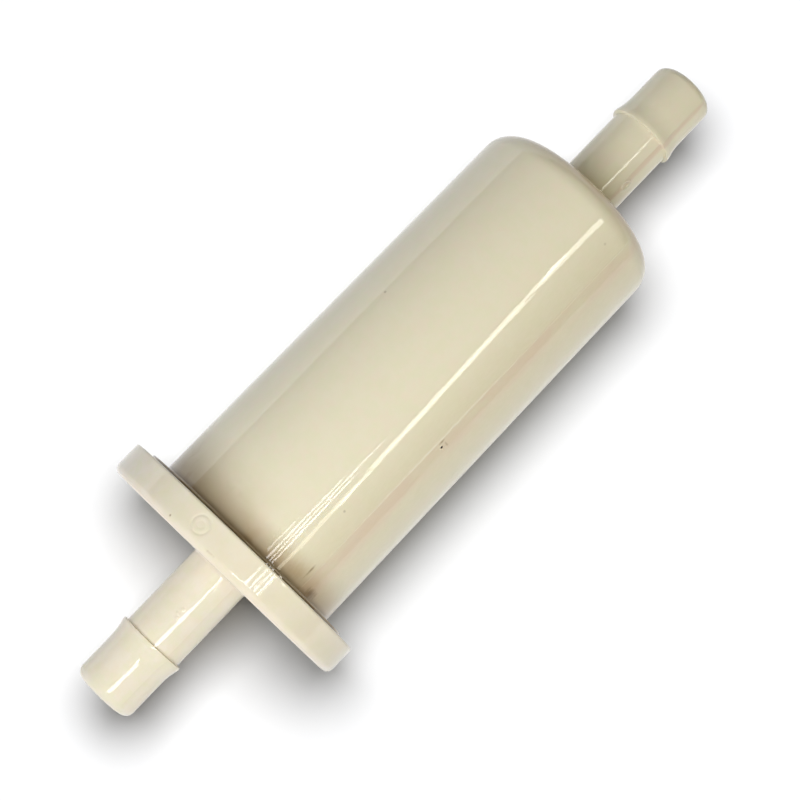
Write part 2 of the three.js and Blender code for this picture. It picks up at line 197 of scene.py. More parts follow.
def solid(name, verts, faces):
    """An object from its points and faces."""
    mesh = bpy.data.meshes.new(name)
    mesh.from_pydata(verts, [], faces)
    return made_solid(name, mesh)


def made_solid(name, mesh):
    """An object with its faces outwards, smooth except at real corners."""
    work = bmesh.new()
    work.from_mesh(mesh)
    bmesh.ops.remove_doubles(work, verts=work.verts, dist=1e-8)
    bmesh.ops.delete(work, geom=[v for v in work.verts if not v.link_faces], context="VERTS")
    bmesh.ops.delete(work, geom=[e for e in work.edges if not e.link_faces], context="EDGES")
    bmesh.ops.recalc_face_normals(work, faces=work.faces)
    for face in work.faces:
        face.smooth = True
    for edge in work.edges:
        edge.smooth = edge.calc_face_angle(0) < CREASE
    work.to_mesh(mesh)
    work.free()
    return placed(name, mesh)


def placed(name, data):
    """A new object in the scene."""
    made = bpy.data.objects.new(name, data)
    bpy.context.scene.collection.objects.link(made)
    return made


def gap_between(a, b):
    """The signed angle from b to a, the short way round."""
    return (a - b + pi) % (2 * pi) - pi


def soft_step(value, edge):
    """1 inside, 0 outside, and a smooth edge between."""
    t = min(1.0, max(0.0, 0.5 - value / edge))
    return t * t * (3 - 2 * t)


def parting_ridge(radius, angle):
    """Height of the parting line's raised seam."""
    return sum(PARTING_HEIGHT * exp(-(gap_between(angle, at) * radius / PARTING_WIDTH) ** 2)
               for at in PARTING_TURNS)


def slow_waves(x, angle):
    """The slight hollows and crowns that shrinking leaves in a moulded wall."""
    return (0.014 * sin(3 * angle + 40 * x + 0.6) + 0.010 * sin(5 * angle - 70 * x)
            + 0.006 * sin(8 * angle + 95 * x + 2.1)) * MM


def bowl_relief(x, radius, angle):
    """Parting line, wall waves, pit and gate scar on the outside of the bowl."""
    outside_wall = x > RIM_TOP_X and radius > FAR_RADIUS - SHOULDER and x < BOWL_END_X
    on_nipple = x > BOWL_END_X + ROOT_FILLET and radius > STEM_RADIUS - HAIR
    if not (outside_wall or on_nipple):
        return 0.0
    height = parting_ridge(radius, angle) * (1 if outside_wall else 0.7)
    if outside_wall:
        if radius > FAR_RADIUS - 0.3 * MM:
            height += slow_waves(x, angle)
        away = hypot(x - PIT["x"], gap_between(angle, PIT["turn"]) * radius) / PIT["size"]
        height += PIT["lip"] * exp(-((away - 1.7) / 0.55) ** 2) - PIT["depth"] * exp(-away ** 4)
    if on_nipple and radius < STEM_RADIUS + HAIR:
        along = (x - BOWL_GATE["x"]) / BOWL_GATE["length"]
        across = gap_between(angle, BOWL_GATE["turn"]) * radius / BOWL_GATE["width"]
        away = (hypot(along, across) - 0.5) * BOWL_GATE["width"]
        height += BOWL_GATE["height"] * exp(-(away / BOWL_GATE["edge"]) ** 2)
    return height


bowl_outline = [
    (BOWL_END_X - END_WALL - SEAT_HEIGHT + SOCKET_DEPTH, BORE_RADIUS),
    (BOWL_END_X - END_WALL - SEAT_HEIGHT + SOCKET_DEPTH, SOCKET_RADIUS),
    (BOWL_END_X - END_WALL - SEAT_HEIGHT, SOCKET_RADIUS),
    (BOWL_END_X - END_WALL - SEAT_HEIGHT, SEAT_RADIUS),
    (BOWL_END_X - END_WALL, SEAT_RADIUS),
    *arc(BOWL_END_X - END_WALL - INNER_CORNER, INNER_FAR_RADIUS - INNER_CORNER, INNER_CORNER, 0, 90),
    (BOWL_MOUTH_X, MOUTH_RADIUS),
    (BOWL_MOUTH_X, BOWL_RIM_RADIUS),
    *arc(RIM_TOP_X - RIM_EDGE, BOWL_RIM_RADIUS - RIM_EDGE, RIM_EDGE, 90, 0, 6),
    *arc(RIM_TOP_X + FOOT_FILLET, FOOT_RADIUS + FOOT_FILLET, FOOT_FILLET, 180, 270),
    *arc(BOWL_END_X - SHOULDER, FAR_RADIUS - SHOULDER, SHOULDER, 90, 0, 28),
    *nipple_outline(BOWL_END_X, 1),
]
bowl = turned(
    "nylon_bowl",
    stations(bowl_outline, 1.9 * MM,
             near=[(PIT["x"], 0.8 * MM, FAR_RADIUS - 0.1 * MM),
                   (BOWL_GATE["x"], 1.2 * MM, STEM_RADIUS - HAIR)],
             finest=0.1 * MM),
    turns([(at, radians(1.2), radians(0.16)) for at in PARTING_TURNS]
          + [(PIT["turn"], radians(2.8), radians(0.22)),
             (BOWL_GATE["turn"], radians(10), radians(0.8))]),
    bowl_relief)


def feed(tree, made, inputs):
    """Sets a node's inputs. Each is a plain value or another node's output."""
    for key, value in dict(inputs).items():
        if isinstance(value, bpy.types.NodeSocket):
            tree.links.new(value, made.inputs[key])
        else:
            made.inputs[key].default_value = value


def node(tree, kind, inputs=(), **settings):
    """Adds a shader node."""
    made = tree.nodes.new(kind)
    for key, value in settings.items():
        setattr(made, key, value)
    feed(tree, made, inputs)
    return made


def calc(tree, operation, *values):
    """The result of a math node."""
    return node(tree, "ShaderNodeMath", enumerate(values), operation=operation).outputs[0]


def product(tree, result, *others):
    """Values multiplied in turn."""
    for other in others:
        result = calc(tree, "MULTIPLY", result, other)
    return result


def total(tree, result, *others):
    """Values added in turn."""
    for other in others:
        result = calc(tree, "ADD", result, other)
    return result


def gap(tree, a, b):
    """How far two values are apart."""
    return calc(tree, "ABSOLUTE", calc(tree, "SUBTRACT", a, b))


def distance(tree, a, b):
    """The length of two sides at a right angle."""
    return calc(tree, "SQRT", total(tree, product(tree, a, a), product(tree, b, b)))


def own_space(tree):
    """The piece's own coordinates in metres."""
    return node(tree, "ShaderNodeTexCoord").outputs["Object"]


def fade(tree, value, low, high, to_low=0.0, to_high=1.0):
    """A smooth change from to_low at low to to_high at high."""
    return node(tree, "ShaderNodeMapRange",
                {0: value, 1: low, 2: high, 3: to_low, 4: to_high},
                interpolation_type="SMOOTHSTEP").outputs[0]


def tint(tree, share, under, over):
    """A colour with a share of another laid over it."""
    return node(tree, "ShaderNodeMix", {0: share, 6: under, 7: over}, data_type="RGBA").outputs[2]


def noise(tree, vector, scale, detail=3.0, roughness=0.55, distortion=0.0):
    """A noise value from 0 to 1."""
    return node(tree, "ShaderNodeTexNoise",
                {"Vector": vector, "Scale": scale, "Detail": detail, "Roughness": roughness,
                 "Distortion": distortion}).outputs["Fac"]


def new_group(name, inputs, outputs):
    """A node group with its two end nodes. Inputs are (name, kind, value), outputs (name, kind)."""
    tree = bpy.data.node_groups.new(name, "ShaderNodeTree")
    for label, kind, value in inputs:
        tree.interface.new_socket(label, in_out="INPUT", socket_type=kind).default_value = value
    for label, kind in outputs:
        tree.interface.new_socket(label, in_out="OUTPUT", socket_type=kind)
    return tree, node(tree, "NodeGroupInput"), node(tree, "NodeGroupOutput")


def use_group(tree, group, inputs=()):
    """Places a node group in a material."""
    return node(tree, "ShaderNodeGroup", inputs, node_tree=group).outputs


def new_material(name):
    """A material with its Principled shader, and the tree to add to."""
    made = bpy.data.materials.new(name)
    made.use_nodes = True
    return made, made.node_tree, made.node_tree.nodes["Principled BSDF"]


def bumped(tree, height):
    """A normal from a height in metres."""
    return node(tree, "ShaderNodeBump", {"Height": height, "Distance": 1.0, "Strength": 1.0}).outputs[0]


round_axis, group_in, group_out = new_group(
    "round_axis", [], [("Along", "NodeSocketFloat"), ("Turn", "NodeSocketFloat"),
                       ("Radius", "NodeSocketFloat"), ("Streak", "NodeSocketVector")])
split = node(round_axis, "ShaderNodeSeparateXYZ", {0: own_space(round_axis)}).outputs
radius = distance(round_axis, split[1], split[2])
minus_y = product(round_axis, split[1], -1.0)
some_radius = calc(round_axis, "MAXIMUM", radius, 1e-5)
STREAK_STRETCH = 22.0
streak = node(round_axis, "ShaderNodeCombineXYZ", {
    0: product(round_axis, split[0], STREAK_STRETCH),
    1: calc(round_axis, "DIVIDE", minus_y, some_radius),
    2: calc(round_axis, "DIVIDE", split[2], some_radius)}).outputs[0]
feed(round_axis, group_out, {"Along": split[0], "Turn": calc(round_axis, "ARCTAN2", minus_y, split[2]),
                             "Radius": radius, "Streak": streak})

mottle, group_in, group_out = new_group(
    "mottle", [*((label, "NodeSocketColor", (0.8, 0.8, 0.8, 1)) for label in ("Base", "Warm", "Cool")),
               ("Scale", "NodeSocketFloat", 120.0), ("Amount", "NodeSocketFloat", 0.5)],
    [("Colour", "NodeSocketColor")])
clouded = group_in.outputs["Base"]
own_place = own_space(mottle)
CLOUD_SHIFT = (0.31, 0.17, 0.53)
shifted = node(mottle, "ShaderNodeVectorMath", {0: own_place, 1: CLOUD_SHIFT}, operation="ADD").outputs[0]
for cloud_place, cloud_colour in ((own_place, "Warm"), (shifted, "Cool")):
    cloud = noise(mottle, cloud_place, group_in.outputs["Scale"], 6.0, 0.72)
    share = product(mottle, fade(mottle, cloud, 0.42, 0.62), group_in.outputs["Amount"])
    clouded = tint(mottle, share, clouded, group_in.outputs[cloud_colour])
feed(mottle, group_out, {"Colour": clouded})

handling, group_in, group_out = new_group(
    "handling", [("Scratch_Scale", "NodeSocketFloat", 900.0), ("Speck_Scale", "NodeSocketFloat", 500.0)],
    [("Scratches", "NodeSocketFloat"), ("Specks", "NodeSocketFloat"), ("Smears", "NodeSocketFloat")])
own_place = own_space(handling)
scratched = None
for lean, stretch in ((0.5, 14.0), (-0.9, 9.0), (1.4, 18.0)):
    leaning = node(handling, "ShaderNodeMapping", {"Vector": own_place, "Rotation": (0.3, 0.2, lean),
                                                   "Scale": (1.0 / stretch, 1.0, 1.0)}).outputs[0]
    thread = noise(handling, leaning, group_in.outputs["Scratch_Scale"], 1.0, 0.4)
    patch = noise(handling, leaning, 70.0, 1.0)
    line = product(handling, fade(handling, gap(handling, thread, 0.5), 0.0, 0.012, 1.0, 0.0),
                   fade(handling, patch, 0.56, 0.66))
    scratched = line if scratched is None else calc(handling, "MAXIMUM", scratched, line)
grains = node(handling, "ShaderNodeTexVoronoi",
              {"Vector": own_place, "Scale": group_in.outputs["Speck_Scale"]}).outputs
chance = node(handling, "ShaderNodeSeparateColor", {0: grains["Color"]}).outputs[0]
specks = product(handling, fade(handling, chance, 0.985, 0.99),
                 fade(handling, grains["Distance"], 0.06, 0.14, 1.0, 0.0))
wiped = noise(handling, own_place, 160.0, 3.0, 0.6, 0.6)
feed(handling, group_out, {"Scratches": scratched, "Specks": specks,
                           "Smears": fade(handling, wiped, 0.4, 0.7)})

IVORY = (0.745, 0.700, 0.546, 1)
IVORY_PALE = (0.762, 0.706, 0.594, 1)
IVORY_WARM = (0.758, 0.674, 0.535, 1)
IVORY_COOL = (0.718, 0.700, 0.510, 1)
# Painted shade along one side of the bowl.
SHADED_IVORY = (0.64, 0.59, 0.42, 1)
# Painted reflection: the colour of a rosy band on the bowl.
ROSY_REFLECTION = (0.68, 0.545, 0.43, 1)
# Painted highlight along the parting line.
PARTING_GLINT = (0.90, 0.88, 0.76, 1)
SPECK_BROWN = (0.16, 0.10, 0.05, 1)
GRIME_BROWN = (0.23, 0.150, 0.072, 1)
# Painted shade with some grime in the gap between rim and cover.
GAP_SHADE_AND_GRIME = (0.07, 0.045, 0.025, 1)
PIT_BROWN = (0.33, 0.26, 0.16, 1)
PIT_BLACK = (0.012, 0.009, 0.006, 1)
# Painted shade with some soil, by the joint of bowl and cover.
JOINT_SHADE_AND_SOIL = (0.36, 0.28, 0.17, 1)
JOINT_RUST = (0.60, 0.43, 0.25, 1)
ROOT_RUST = (0.55, 0.36, 0.20, 1)
FOOT_SMEAR = (0.50, 0.36, 0.19, 1)
# Where the painted shade along the bowl's side is centred, round the axis.
SHADED_TURN = 0.75


def ivory_nylon(name, base, soil_and_shade_places, stains_and_glints, pit=None):
    """Glossy ivory nylon. The bands (x, reach, colour, left share, right share) lay colour round the axis
    near a place: dirt, tints and painted shade. The single marks (x, turn, length, width, colour,
    strength) are stains and one painted highlight. The piece with the pit also has painted shade
    along one side, with a painted reflection beside it."""
    made, tree, shader = new_material(name)
    place = use_group(tree, round_axis)
    along, turned_by, radius = place["Along"], place["Turn"], place["Radius"]
    colour = use_group(tree, mottle, {"Base": base, "Warm": IVORY_WARM, "Cool": IVORY_COOL,
                                      "Scale": 420.0, "Amount": 0.6})["Colour"]
    marks = use_group(tree, handling)
    if pit:
        # Painted shade: a darker, browner band with streaks along one side of the bowl's wall.
        shaded_side = fade(tree, gap(tree, turned_by, SHADED_TURN), 0.05, 0.62, 0.75, 0.0)
        on_bowl = fade(tree, calc(tree, "ABSOLUTE", along), 30.0 * MM, 42.0 * MM, 1.0, 0.0)
        streaky = fade(tree, noise(tree, place["Streak"], 40.0, 4.0, 0.7), 0.3, 0.7, 1.0, 0.7)
        colour = tint(tree, product(tree, shaded_side, on_bowl, streaky), colour, SHADED_IVORY)
        # Painted reflection: a rosy band, broken into streaks, beside the painted shade.
        reflection_band = product(tree, fade(tree, turned_by, 0.60, 0.68), fade(tree, turned_by, 0.76, 0.92, 1.0, 0.0))
        broken = fade(tree, noise(tree, place["Streak"], 3.2, 4.0), 0.38, 0.62)
        colour = tint(tree, product(tree, reflection_band, broken, 0.65), colour, ROSY_REFLECTION)
    for x, reach, mark_colour, left, right in soil_and_shade_places:
        near = fade(tree, gap(tree, along, x), 0.0, reach, 1.0, 0.0)
        patchy = product(tree, near, fade(tree, marks["Smears"], 0.0, 1.0, 0.7, 1.0))
        share = fade(tree, turned_by, -1.15, 0.4, left, right)
        colour = tint(tree, product(tree, patchy, share), colour, mark_colour)
    for x, turn, length, width, mark_colour, strength in stains_and_glints:
        off_x = calc(tree, "DIVIDE", calc(tree, "SUBTRACT", along, x), length)
        off_turn = calc(tree, "DIVIDE", product(tree, calc(tree, "SUBTRACT", turned_by, turn), radius), width)
        ragged = product(tree, noise(tree, place["Streak"], 40.0, 4.0, 0.7), 1.4)
        away = total(tree, ragged, distance(tree, off_x, off_turn))
        colour = tint(tree, product(tree, fade(tree, away, 0.6, 1.6, 1.0, 0.0), strength), colour, mark_colour)
    colour = tint(tree, product(tree, marks["Specks"], 0.35), colour, SPECK_BROWN)
    if pit:
        off_turn = product(tree, calc(tree, "SUBTRACT", turned_by, pit["turn"]), radius)
        away = distance(tree, calc(tree, "SUBTRACT", along, pit["x"]), off_turn)
        outside = fade(tree, radius, 13.9 * MM, 14.2 * MM)
        hole = product(tree, fade(tree, away, pit["size"] * 0.7, pit["size"] * 1.3, 1.0, 0.0), outside)
        colour = tint(tree, hole, colour, PIT_BLACK)
    ripple = product(tree, noise(tree, place["Streak"], 9.0, 2.0), 10e-6)
    peel = product(tree, noise(tree, own_space(tree), 900.0, 2.0), 1.2e-6)
    height = total(tree, ripple, peel, product(tree, marks["Scratches"], -2.5e-6))
    rough = total(tree, product(tree, marks["Smears"], 0.03), 0.03, product(tree, marks["Scratches"], 0.12))
    feed(tree, shader, {"Base Color": colour, "Roughness": rough, "Normal": bumped(tree, height),
                        "IOR": 1.53, "Subsurface Weight": 0.12, "Subsurface Radius": (1.0, 0.8, 0.5),
                        "Subsurface Scale": 1.2 * MM})
    return made


bowl_nylon = ivory_nylon(
    "bowl_nylon", IVORY,
    # Painted shade with some soil on the bowl's foot, left side, where the flange shades it.
    [(RIM_TOP_X, 10.0 * MM, JOINT_SHADE_AND_SOIL, 1.0, 0.0), (RIM_TOP_X, 5.0 * MM, JOINT_RUST, 0.3, 0.75),
     # Painted shade with some grime on the rim strip inside the gap.
     (RIM_TOP_X, 1.1 * MM, GRIME_BROWN, 0.8, 0.75), (RIM_TOP_X - 0.4 * MM, 0.27 * MM, GAP_SHADE_AND_GRIME, 1.0, 1.0),
     (BOWL_END_X, 2.6 * MM, ROOT_RUST, 0.5, 0.8)],
    [(RIM_TOP_X + 3.2 * MM, radians(34), 1.6 * MM, 0.3 * MM, GRIME_BROWN, 0.7),
     (RIM_TOP_X + 1.0 * MM, radians(45), 1.2 * MM, 1.8 * MM, GRIME_BROWN, 0.8),
     (PIT["x"] + 0.45 * MM, PIT["turn"] - radians(2.6), 0.9 * MM, 0.3 * MM, PIT_BROWN, 0.85),
     (PIT["x"] + 0.80 * MM, PIT["turn"] + radians(0.4), 0.3 * MM, 0.9 * MM, PIT_BROWN, 0.6),
     # Painted highlight: a pale stripe along the parting line.
     (PIT["x"], PARTING_TURNS[0], 26.0 * MM, 0.34 * MM, PARTING_GLINT, 0.4),
     (RIM_TOP_X + 2.0 * MM, radians(28), 1.8 * MM, 2.6 * MM, FOOT_SMEAR, 0.25)], PIT)
bowl.data.materials.append(bowl_nylon)
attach(bowl, "housing")
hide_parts("filter_bowl")


# --- Inlet cover ---------------------------------------------------------------------------
# The cover is a thick disc of the same nylon with its own hose nipple. A recess takes the bowl's
# rim, a skirt centres in the bowl's mouth, and four ribs stop the element from floating too far.

cover_low, cover_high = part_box("inlet_cover")
COVER_RADIUS = cover_high.z
COVER_OUTER_X = cover_low.x + NIPPLE_LENGTH
COVER_INNER_X = COVER_OUTER_X + 5.0 * MM
COVER_OUTER_ROUNDING = 1.2 * MM
COVER_INNER_ROUNDING = 0.3 * MM
RECESS_RADIUS = 18.5 * MM
RECESS_FLOOR_X = COVER_INNER_X - 2.3 * MM
SKIRT_OUTER_RADIUS = 13.0 * MM
SKIRT_INNER_RADIUS = 11.8 * MM
SKIRT_TOP_X = RECESS_FLOOR_X + 4.3 * MM
SKIRT_CHAMFER = 0.4 * MM
SPIGOT_RADIUS = 4.3 * MM
SPIGOT_TOP_X = RECESS_FLOOR_X + 1.2 * MM
STOP_RIBS = 4
RIB_TOP_X = -28.6 * MM
RIB_INNER_RADIUS = 7.5 * MM
RIB_OUTER_RADIUS = 12.4 * MM
RIB_THICKNESS = 1.2 * MM
COVER_GATE = dict(x=COVER_INNER_X - 2.2 * MM, turn=radians(-16.8), size=1.3 * MM,
                  edge=0.2 * MM, height=0.08 * MM)
BLIPS_X = -45.4 * MM
STEM_BLIPS = [(-45.6 * MM, radians(-4)), (-46.1 * MM, radians(1)), (-44.7 * MM, radians(-1.5))]
BLIP_SIZE = 0.22 * MM
BLIP_HEIGHT = 0.13 * MM


def cover_relief(x, radius, angle):
    """Gate scar on the rim and small moulding blips on the nipple."""
    height = 0.0
    if radius > COVER_RADIUS - 0.05 * MM:
        away = hypot(x - COVER_GATE["x"], gap_between(angle, COVER_GATE["turn"]) * radius)
        ring = exp(-((away - COVER_GATE["size"]) / COVER_GATE["edge"]) ** 2)
        height -= COVER_GATE["height"] * (ring + 0.5 * soft_step(away - COVER_GATE["size"] * 0.5, 0.3 * MM))
    if x < COVER_OUTER_X - ROOT_FILLET and STEM_RADIUS - HAIR < radius < RIDGE_RADIUS + 0.1 * MM:
        height += parting_ridge(radius, angle) * 0.6
        for at_x, at_turn in STEM_BLIPS:
            away = hypot(x - at_x, gap_between(angle, at_turn) * radius)
            height += BLIP_HEIGHT * exp(-(away / BLIP_SIZE) ** 2)
    return height


cover_outline = [
    (SPIGOT_TOP_X, BORE_RADIUS),
    (SPIGOT_TOP_X, SPIGOT_RADIUS),
    (RECESS_FLOOR_X, SPIGOT_RADIUS),
    (RECESS_FLOOR_X, SKIRT_INNER_RADIUS),
    (SKIRT_TOP_X, SKIRT_INNER_RADIUS),
    (SKIRT_TOP_X, SKIRT_OUTER_RADIUS - SKIRT_CHAMFER),
    (SKIRT_TOP_X - SKIRT_CHAMFER, SKIRT_OUTER_RADIUS),
    (RECESS_FLOOR_X, SKIRT_OUTER_RADIUS),
    (RECESS_FLOOR_X, RECESS_RADIUS),
    (COVER_INNER_X, RECESS_RADIUS),
    *arc(COVER_INNER_X - COVER_INNER_ROUNDING, COVER_RADIUS - COVER_INNER_ROUNDING,
         COVER_INNER_ROUNDING, 0, 90, 6),
    *arc(COVER_OUTER_X + COVER_OUTER_ROUNDING, COVER_RADIUS - COVER_OUTER_ROUNDING,
         COVER_OUTER_ROUNDING, 90, 180, 14),
    *nipple_outline(COVER_OUTER_X, -1),
]
cover = turned(
    "nylon_cover",
    stations(cover_outline, 0.9 * MM,
             near=[(COVER_GATE["x"], 1.6 * MM, COVER_RADIUS - HAIR), (BLIPS_X, 1.4 * MM, STEM_RADIUS - HAIR)],
             finest=0.09 * MM),
    turns([(COVER_GATE["turn"], radians(4.4), radians(0.25)),
           (radians(-1.5), radians(7), radians(0.9))]
          + [(at, radians(3), radians(0.4)) for at in PARTING_TURNS]),
    cover_relief)


def combined(piece, others, operation):
    """Joins solids to a piece or cuts them from it, and leaves one plain mesh."""
    tool_mesh = bmesh.new()
    for other in others:
        tool_mesh.from_mesh(other.data)
        bpy.data.objects.remove(other)
    mesh = bpy.data.meshes.new("tool")
    tool_mesh.to_mesh(mesh)
    tool_mesh.free()
    tool = placed("tool", mesh)
    modifier = piece.modifiers.new("combine", "BOOLEAN")
    modifier.operation, modifier.solver, modifier.object = operation, "EXACT", tool
    bpy.context.view_layer.update()
    mesh = bpy.data.meshes.new_from_object(piece.evaluated_get(bpy.context.evaluated_depsgraph_get()))
    mesh.materials.clear()
    piece.modifiers.clear()
    piece.data = mesh
    bpy.data.objects.remove(tool)


def radial_block(name, from_x, to_x, inner, outer, width, angle, corner=0.0):
    """A block that points outwards from the axis. A corner size rounds its four outward edges."""
    work = bmesh.new()
    bmesh.ops.create_cube(work, size=1.0)
    bmesh.ops.scale(work, verts=work.verts, vec=(to_x - from_x, width, outer - inner))
    if corner:
        upright = [edge for edge in work.edges
                   if abs(edge.verts[0].co.z - edge.verts[1].co.z) > (outer - inner) / 2]
        bmesh.ops.bevel(work, geom=upright, offset=corner, segments=4, affect="EDGES", profile=0.5)
    for vert in work.verts:
        x = (from_x + to_x) / 2 + vert.co.x
        across = vert.co.y
        out = (inner + outer) / 2 + vert.co.z
        vert.co = (x, across * cos(angle) - out * sin(angle),
                   across * sin(angle) + out * cos(angle))
    mesh = bpy.data.meshes.new(name)
    work.to_mesh(mesh)
    work.free()
    return made_solid(name, mesh)


ribs = [radial_block("rib", RECESS_FLOOR_X - 0.1 * MM, RIB_TOP_X, RIB_INNER_RADIUS, RIB_OUTER_RADIUS,
                     RIB_THICKNESS, i / STOP_RIBS * 2 * pi) for i in range(STOP_RIBS)]
combined(cover, ribs, "UNION")
# Painted shade: the cover rim's right side darker and yellower.
RIM_SIDE_SHADE = (0.66, 0.60, 0.44, 1)
ROOT_PINK = (0.76, 0.63, 0.53, 1)
cover_nylon = ivory_nylon(
    "cover_nylon", IVORY_PALE,
    # Painted shade with some soil along the cover's inner edge.
    [(COVER_INNER_X, 0.5 * MM, JOINT_SHADE_AND_SOIL, 0.3, 0.3),
     # Painted shade on the rim's right side.
     (COVER_INNER_X - 2.5 * MM, 4.5 * MM, RIM_SIDE_SHADE, 0.0, 0.6),
     (COVER_OUTER_X, 1.0 * MM, ROOT_PINK, 0.5, 0.4)],
    [(COVER_OUTER_X + 0.9 * MM, radians(-28), 0.3 * MM, 0.3 * MM, GRIME_BROWN, 0.9),
     (COVER_OUTER_X + 0.9 * MM, radians(-7.5), 0.3 * MM, 1.2 * MM, (0.45, 0.37, 0.28, 1), 0.6)])
cover.data.materials.append(cover_nylon)
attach(cover, "housing")
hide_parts("inlet_cover")


# --- Weld bead -----------------------------------------------------------------------------
# Where the spinning cover was pressed on the bowl's rim, the nylon melted into a flat ring that
# joins the two. It is browner than the moulded walls, and its edges are beaded.

weld_low, weld_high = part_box("weld_bead")
WELD_INNER_RADIUS = 14.6 * MM
WELD_LUMPS = 0.10 * MM
WELD_EDGE = 0.1 * MM


def rounded(corners, size, steps=4):
    """A closed outline of corners, each turned into a small arc."""
    made = []
    for i, here in enumerate(corners):
        before, after = Vector(corners[i - 1]), Vector(corners[(i + 1) % len(corners)])
        here = Vector(here)
        start = here + (before - here).normalized() * size
        end = here + (after - here).normalized() * size
        for s in range(steps + 1):
            t = s / steps
            point = start * (1 - t) ** 2 + here * 2 * t * (1 - t) + end * t ** 2
            made.append(tuple(point))
    return made


def ring_outline(low, high, inner_radius, edge, steps=4):
    """The section of a flat ring with rounded edges, which fills its box."""
    return rounded([(low.x, inner_radius), (low.x, high.z), (high.x, high.z), (high.x, inner_radius)],
                   edge, steps)


def weld_relief(x, radius, angle):
    """Beads along the edges of the ring."""
    lumps = sin(61 * angle) + 0.7 * sin(97 * angle + 1.3) + 0.5 * sin(23 * angle)
    outwards = 1 if radius > (WELD_INNER_RADIUS + weld_high.z) / 2 else -1
    return outwards * WELD_LUMPS * (lumps - 2.2) / 2.2


weld = turned("weld_ring", ring_outline(weld_low, weld_high, WELD_INNER_RADIUS, WELD_EDGE), turns(),
              weld_relief)
weld_nylon, tree, shader = new_material("weld_nylon")
browned = use_group(tree, mottle, {"Base": (0.42, 0.33, 0.19, 1), "Warm": (0.27, 0.17, 0.08, 1),
                                   "Cool": (0.55, 0.47, 0.30, 1), "Scale": 420.0, "Amount": 0.9})["Colour"]
bubbles = noise(tree, own_space(tree), 2600.0, 3.0)
feed(tree, shader, {"Base Color": browned, "Roughness": fade(tree, bubbles, 0.3, 0.7, 0.35, 0.6),
                    "Normal": bumped(tree, product(tree, bubbles, 25e-6)), "IOR": 1.53})
weld.data.materials.append(weld_nylon)
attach(weld, "housing")
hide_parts("weld_bead")


# --- Element spring ------------------------------------------------------------------------
# A light compression spring of 0.8 mm drawn stainless wire with closed ends. It stands on the
# cover's floor round the spigot and presses the element against its seat.

WIRE = 0.8 * MM
COIL_RADIUS = 5.0 * MM
COIL_TURNS = 5
CLOSED_PITCH = 0.95 * MM
WIRE_SIDES = 14
STEPS_PER_TURN = 56
END_TAPER = 0.86
SPRING_GAP = 0.05 * MM
DISC_BOSS_HEIGHT = 1.2 * MM
disc_low, disc_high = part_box("inlet_end_disc")


def wire_middle(turn):
    """The middle of the wire after so many turns."""
    start_x = RECESS_FLOOR_X + WIRE / 2 + SPRING_GAP
    end_x = disc_low.x + DISC_BOSS_HEIGHT - WIRE / 2 - SPRING_GAP
    open_turns = COIL_TURNS - 2
    open_pitch = (end_x - start_x - 2 * CLOSED_PITCH) / open_turns
    opened = min(max(turn - 1, 0), open_turns)
    angle = turn * 2 * pi
    return Vector((start_x + opened * open_pitch + (turn - opened) * CLOSED_PITCH,
                   COIL_RADIUS * cos(angle), COIL_RADIUS * sin(angle)))


verts, faces = [], []
rings = COIL_TURNS * STEPS_PER_TURN + 1
for i in range(rings):
    turn = i / STEPS_PER_TURN
    middle = wire_middle(turn)
    ahead = (wire_middle(turn + 0.001) - wire_middle(turn - 0.001)).normalized()
    outwards = Vector((0, middle.y, middle.z)).normalized()
    sideways = ahead.cross(outwards)
    size = WIRE / 2 * (END_TAPER if i in (0, rings - 1) else 1.0)
    for k in range(WIRE_SIDES):
        a = k / WIRE_SIDES * 2 * pi
        verts.append(middle + (outwards * cos(a) + sideways * sin(a)) * size)
    if i:
        faces += strip((i - 1) * WIRE_SIDES, i * WIRE_SIDES, WIRE_SIDES)
faces += [tuple(range(WIRE_SIDES)), tuple(range(len(verts) - WIRE_SIDES, len(verts)))]
spring = solid("steel_spring", verts, faces)
spring_wire, tree, shader = new_material("spring_wire")
own_place = own_space(tree)
along_wire = node(tree, "ShaderNodeMapping", {"Vector": own_place, "Scale": (1.0, 0.15, 0.15)}).outputs[0]
drawn = noise(tree, along_wire, 5200.0, 3.0)
stain = fade(tree, noise(tree, own_place, 260.0, 4.0), 0.5, 0.72)
steel = tint(tree, product(tree, stain, 0.5), (0.62, 0.63, 0.64, 1), (0.42, 0.34, 0.24, 1))
feed(tree, shader, {"Base Color": steel, "Metallic": 1.0, "Roughness": fade(tree, drawn, 0.3, 0.7, 0.2, 0.38),
                    "Normal": bumped(tree, product(tree, drawn, 3e-6))})
spring.data.materials.append(spring_wire)
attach(spring, "housing")
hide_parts("element_spring")
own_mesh(spring)


# --- Inlet end disc ------------------------------------------------------------------------
# The closed end of the element is a moulded disc of natural nylon. It has a boss for the spring,
# a cup for the potting, and four ears that keep the element central in the bowl.

CUP_RADIUS = 12.4 * MM
CUP_WALL = 0.5 * MM
MOULDED_EDGE = 0.14 * MM
PILOT_RADIUS = 3.9 * MM
PILOT_HEIGHT = 1.2 * MM
DISC_BOSS_RADIUS = 4.3 * MM
EARS = 4
EAR_WIDTH = 3.0 * MM
EAR_RADIUS = 13.0 * MM
EAR_INSET = 0.3 * MM
disc_face_x = disc_low.x + DISC_BOSS_HEIGHT
disc_floor_x = disc_face_x + 1.0 * MM
disc_outline = rounded([
    (disc_low.x, DISC_BOSS_RADIUS), (disc_face_x, DISC_BOSS_RADIUS), (disc_face_x, CUP_RADIUS),
    (disc_high.x, CUP_RADIUS), (disc_high.x, CUP_RADIUS - CUP_WALL), (disc_floor_x, CUP_RADIUS - CUP_WALL),
    (disc_floor_x, PILOT_RADIUS), (disc_floor_x + PILOT_HEIGHT, PILOT_RADIUS)], MOULDED_EDGE)
